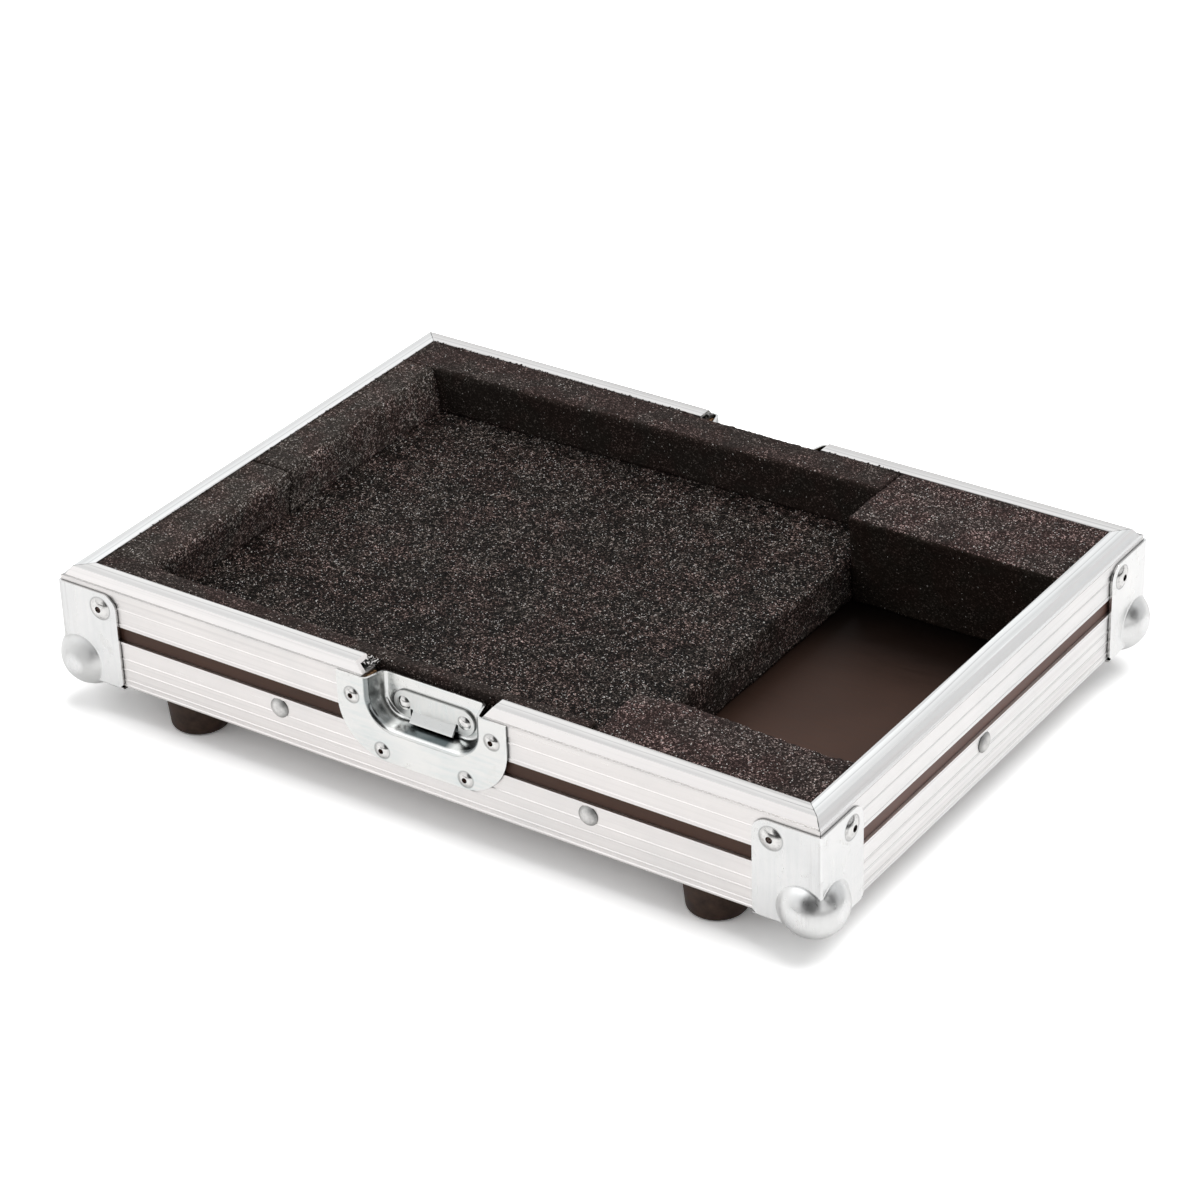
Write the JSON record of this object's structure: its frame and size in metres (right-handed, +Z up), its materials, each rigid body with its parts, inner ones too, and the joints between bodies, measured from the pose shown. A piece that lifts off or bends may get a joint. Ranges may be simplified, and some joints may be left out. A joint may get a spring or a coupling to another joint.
{
  "type": "dj controller flight case",
  "caption": "Shallow flight case base tray: plywood box with aluminium edge rails, steel ball corners, recessed latch catches, rubber feet and a foam lining cut for a controller.",
  "frame": {"origin": "on the ground, in the middle of the footprint, under the soles of the feet", "axes": "+X to the right along the long side, +Y to the back, +Z up"},
  "size_m": [0.5184, 0.3704, 0.0886],
  "materials": {
    "rail_aluminium": "satin, drawn lengthwise",
    "plated_steel": "zinc plated, soft satin",
    "rivet_steel": "bright plated",
    "screw_steel": "zinc plated",
    "foot_rubber": "moulded, matt",
    "faced_plywood": "smooth dark brown phenolic facing",
    "plank_foam": "closed-cell polyethylene plank foam, coarse open grain on its cut faces"
  },
  "bodies": {
    "root": {"back_base_rail": "rail_aluminium", "back_block": "plank_foam", "back_catch_dish": "plated_steel", "back_left_ball_corner": "plated_steel", "back_left_foot": "foot_rubber", "back_right_ball_corner": "plated_steel", "back_right_foot": "foot_rubber", "back_rim_rail_left": "rail_aluminium", "back_rim_rail_right": "rail_aluminium", "back_strike_plate": "plated_steel", "back_strip": "plank_foam", "back_wall": "faced_plywood", "base_panel": "faced_plywood", "corner_rivets": "rivet_steel", "dish_rivets": "rivet_steel", "floor_pad": "plank_foam", "foot_screws": "screw_steel", "foot_washers": "screw_steel", "front_base_rail": "rail_aluminium", "front_block": "plank_foam", "front_catch_dish": "plated_steel", "front_left_ball_corner": "plated_steel", "front_left_foot": "foot_rubber", "front_right_ball_corner": "plated_steel", "front_right_foot": "foot_rubber", "front_rim_rail_left": "rail_aluminium", "front_rim_rail_right": "rail_aluminium", "front_strike_plate": "plated_steel", "front_strip": "plank_foam", "front_wall": "faced_plywood", "left_base_rail": "rail_aluminium", "left_rim_rail": "rail_aluminium", "left_strip_back": "plank_foam", "left_strip_front": "plank_foam", "left_wall": "faced_plywood", "rail_rivets": "rivet_steel", "right_base_rail": "rail_aluminium", "right_rim_rail": "rail_aluminium", "right_wall": "faced_plywood", "strike_rivets": "rivet_steel"}
  },
  "joints": []
}
